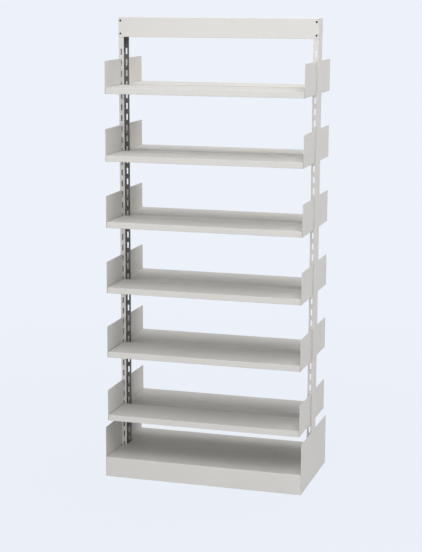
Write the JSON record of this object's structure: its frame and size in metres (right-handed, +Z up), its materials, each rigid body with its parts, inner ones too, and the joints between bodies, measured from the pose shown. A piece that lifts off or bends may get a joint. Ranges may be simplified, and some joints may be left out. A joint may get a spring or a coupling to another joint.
{
  "type": "double sided library shelving",
  "caption": "Free-standing double sided steel library shelving: slotted posts under a header, hooked brackets carrying lift-off shelf trays on both faces, and a closed base.",
  "frame": {"origin": "on the floor, midway between the posts and midway between the two faces", "axes": "+Z up, +X to the right seen from the front face, +Y from the front face to the rear face"},
  "size_m": [0.9426, 0.516, 2.134],
  "materials": {
    "paint": "off-white satin powder coat on folded sheet steel",
    "screw": "blackened pan-head screw",
    "glide": "zinc-plated levelling glide"
  },
  "bodies": {
    "frame": {"left_post": "paint", "right_post": "paint", "top_header": "paint", "bottom_spreader": "paint", "front_left_base_bracket": "paint", "front_right_base_bracket": "paint", "rear_left_base_bracket": "paint", "rear_right_base_bracket": "paint", "front_left_upper_screw": "screw", "front_left_lower_screw": "screw", "front_right_upper_screw": "screw", "front_right_lower_screw": "screw", "rear_left_upper_screw": "screw", "rear_left_lower_screw": "screw", "rear_right_upper_screw": "screw", "rear_right_lower_screw": "screw"},
    "front_bracket_pair_1": {"front_left_bracket_1": "paint", "front_right_bracket_1": "paint"},
    "front_shelf_1": {"front_tray_1": "paint"},
    "rear_bracket_pair_1": {"rear_left_bracket_1": "paint", "rear_right_bracket_1": "paint"},
    "rear_shelf_1": {"rear_tray_1": "paint"},
    "front_bracket_pair_2": {"front_left_bracket_2": "paint", "front_right_bracket_2": "paint"},
    "front_shelf_2": {"front_tray_2": "paint"},
    "rear_bracket_pair_2": {"rear_left_bracket_2": "paint", "rear_right_bracket_2": "paint"},
    "rear_shelf_2": {"rear_tray_2": "paint"},
    "front_bracket_pair_3": {"front_left_bracket_3": "paint", "front_right_bracket_3": "paint"},
    "front_shelf_3": {"front_tray_3": "paint"},
    "rear_bracket_pair_3": {"rear_left_bracket_3": "paint", "rear_right_bracket_3": "paint"},
    "rear_shelf_3": {"rear_tray_3": "paint"},
    "front_bracket_pair_4": {"front_left_bracket_4": "paint", "front_right_bracket_4": "paint"},
    "front_shelf_4": {"front_tray_4": "paint"},
    "rear_bracket_pair_4": {"rear_left_bracket_4": "paint", "rear_right_bracket_4": "paint"},
    "rear_shelf_4": {"rear_tray_4": "paint"},
    "front_bracket_pair_5": {"front_left_bracket_5": "paint", "front_right_bracket_5": "paint"},
    "front_shelf_5": {"front_tray_5": "paint"},
    "rear_bracket_pair_5": {"rear_left_bracket_5": "paint", "rear_right_bracket_5": "paint"},
    "rear_shelf_5": {"rear_tray_5": "paint"},
    "front_bracket_pair_6": {"front_left_bracket_6": "paint", "front_right_bracket_6": "paint"},
    "front_shelf_6": {"front_tray_6": "paint"},
    "rear_bracket_pair_6": {"rear_left_bracket_6": "paint", "rear_right_bracket_6": "paint"},
    "rear_shelf_6": {"rear_tray_6": "paint"},
    "front_base_cover": {"front_base_deck": "paint"},
    "rear_base_cover": {"rear_base_deck": "paint"},
    "left_end_cover": {"left_end_panel": "paint"},
    "right_end_cover": {"right_end_panel": "paint"},
    "front_left_foot": {"front_left_glide": "glide"},
    "front_right_foot": {"front_right_glide": "glide"},
    "rear_left_foot": {"rear_left_glide": "glide"},
    "rear_right_foot": {"rear_right_glide": "glide"}
  },
  "joints": [
    {"name": "front_bracket_pair_1_unhook", "type": "slide", "parent": "frame", "child": "front_bracket_pair_1", "axis": [0, 0, 1], "range_m": [0, 0.0125]},
    {"name": "front_shelf_1_lift", "type": "slide", "parent": "front_bracket_pair_1", "child": "front_shelf_1", "axis": [0, 0, 1], "range_m": [0, 0.15]},
    {"name": "rear_bracket_pair_1_unhook", "type": "slide", "parent": "frame", "child": "rear_bracket_pair_1", "axis": [0, 0, 1], "range_m": [0, 0.0125]},
    {"name": "rear_shelf_1_lift", "type": "slide", "parent": "rear_bracket_pair_1", "child": "rear_shelf_1", "axis": [0, 0, 1], "range_m": [0, 0.15]},
    {"name": "front_bracket_pair_2_unhook", "type": "slide", "parent": "frame", "child": "front_bracket_pair_2", "axis": [0, 0, 1], "range_m": [0, 0.0125]},
    {"name": "front_shelf_2_lift", "type": "slide", "parent": "front_bracket_pair_2", "child": "front_shelf_2", "axis": [0, 0, 1], "range_m": [0, 0.15]},
    {"name": "rear_bracket_pair_2_unhook", "type": "slide", "parent": "frame", "child": "rear_bracket_pair_2", "axis": [0, 0, 1], "range_m": [0, 0.0125]},
    {"name": "rear_shelf_2_lift", "type": "slide", "parent": "rear_bracket_pair_2", "child": "rear_shelf_2", "axis": [0, 0, 1], "range_m": [0, 0.15]},
    {"name": "front_bracket_pair_3_unhook", "type": "slide", "parent": "frame", "child": "front_bracket_pair_3", "axis": [0, 0, 1], "range_m": [0, 0.0125]},
    {"name": "front_shelf_3_lift", "type": "slide", "parent": "front_bracket_pair_3", "child": "front_shelf_3", "axis": [0, 0, 1], "range_m": [0, 0.15]},
    {"name": "rear_bracket_pair_3_unhook", "type": "slide", "parent": "frame", "child": "rear_bracket_pair_3", "axis": [0, 0, 1], "range_m": [0, 0.0125]},
    {"name": "rear_shelf_3_lift", "type": "slide", "parent": "rear_bracket_pair_3", "child": "rear_shelf_3", "axis": [0, 0, 1], "range_m": [0, 0.15]},
    {"name": "front_bracket_pair_4_unhook", "type": "slide", "parent": "frame", "child": "front_bracket_pair_4", "axis": [0, 0, 1], "range_m": [0, 0.0125]},
    {"name": "front_shelf_4_lift", "type": "slide", "parent": "front_bracket_pair_4", "child": "front_shelf_4", "axis": [0, 0, 1], "range_m": [0, 0.15]},
    {"name": "rear_bracket_pair_4_unhook", "type": "slide", "parent": "frame", "child": "rear_bracket_pair_4", "axis": [0, 0, 1], "range_m": [0, 0.0125]},
    {"name": "rear_shelf_4_lift", "type": "slide", "parent": "rear_bracket_pair_4", "child": "rear_shelf_4", "axis": [0, 0, 1], "range_m": [0, 0.15]},
    {"name": "front_bracket_pair_5_unhook", "type": "slide", "parent": "frame", "child": "front_bracket_pair_5", "axis": [0, 0, 1], "range_m": [0, 0.0125]},
    {"name": "front_shelf_5_lift", "type": "slide", "parent": "front_bracket_pair_5", "child": "front_shelf_5", "axis": [0, 0, 1], "range_m": [0, 0.15]},
    {"name": "rear_bracket_pair_5_unhook", "type": "slide", "parent": "frame", "child": "rear_bracket_pair_5", "axis": [0, 0, 1], "range_m": [0, 0.0125]},
    {"name": "rear_shelf_5_lift", "type": "slide", "parent": "rear_bracket_pair_5", "child": "rear_shelf_5", "axis": [0, 0, 1], "range_m": [0, 0.15]},
    {"name": "front_bracket_pair_6_unhook", "type": "slide", "parent": "frame", "child": "front_bracket_pair_6", "axis": [0, 0, 1], "range_m": [0, 0.0125]},
    {"name": "front_shelf_6_lift", "type": "slide", "parent": "front_bracket_pair_6", "child": "front_shelf_6", "axis": [0, 0, 1], "range_m": [0, 0.15]},
    {"name": "rear_bracket_pair_6_unhook", "type": "slide", "parent": "frame", "child": "rear_bracket_pair_6", "axis": [0, 0, 1], "range_m": [0, 0.0125]},
    {"name": "rear_shelf_6_lift", "type": "slide", "parent": "rear_bracket_pair_6", "child": "rear_shelf_6", "axis": [0, 0, 1], "range_m": [0, 0.15]},
    {"name": "front_base_cover_lift", "type": "slide", "parent": "frame", "child": "front_base_cover", "axis": [0, 0, 1], "range_m": [0, 0.1]},
    {"name": "rear_base_cover_lift", "type": "slide", "parent": "frame", "child": "rear_base_cover", "axis": [0, 0, 1], "range_m": [0, 0.1]},
    {"name": "left_end_cover_unhook", "type": "slide", "parent": "frame", "child": "left_end_cover", "axis": [0, 0, 1], "range_m": [0, 0.012]},
    {"name": "right_end_cover_unhook", "type": "slide", "parent": "frame", "child": "right_end_cover", "axis": [0, 0, 1], "range_m": [0, 0.012]},
    {"name": "front_left_foot_level", "type": "slide", "parent": "frame", "child": "front_left_foot", "axis": [0, 0, -1], "range_m": [0, 0.019]},
    {"name": "front_right_foot_level", "type": "slide", "parent": "frame", "child": "front_right_foot", "axis": [0, 0, -1], "range_m": [0, 0.019]},
    {"name": "rear_left_foot_level", "type": "slide", "parent": "frame", "child": "rear_left_foot", "axis": [0, 0, -1], "range_m": [0, 0.019]},
    {"name": "rear_right_foot_level", "type": "slide", "parent": "frame", "child": "rear_right_foot", "axis": [0, 0, -1], "range_m": [0, 0.019]}
  ]
}
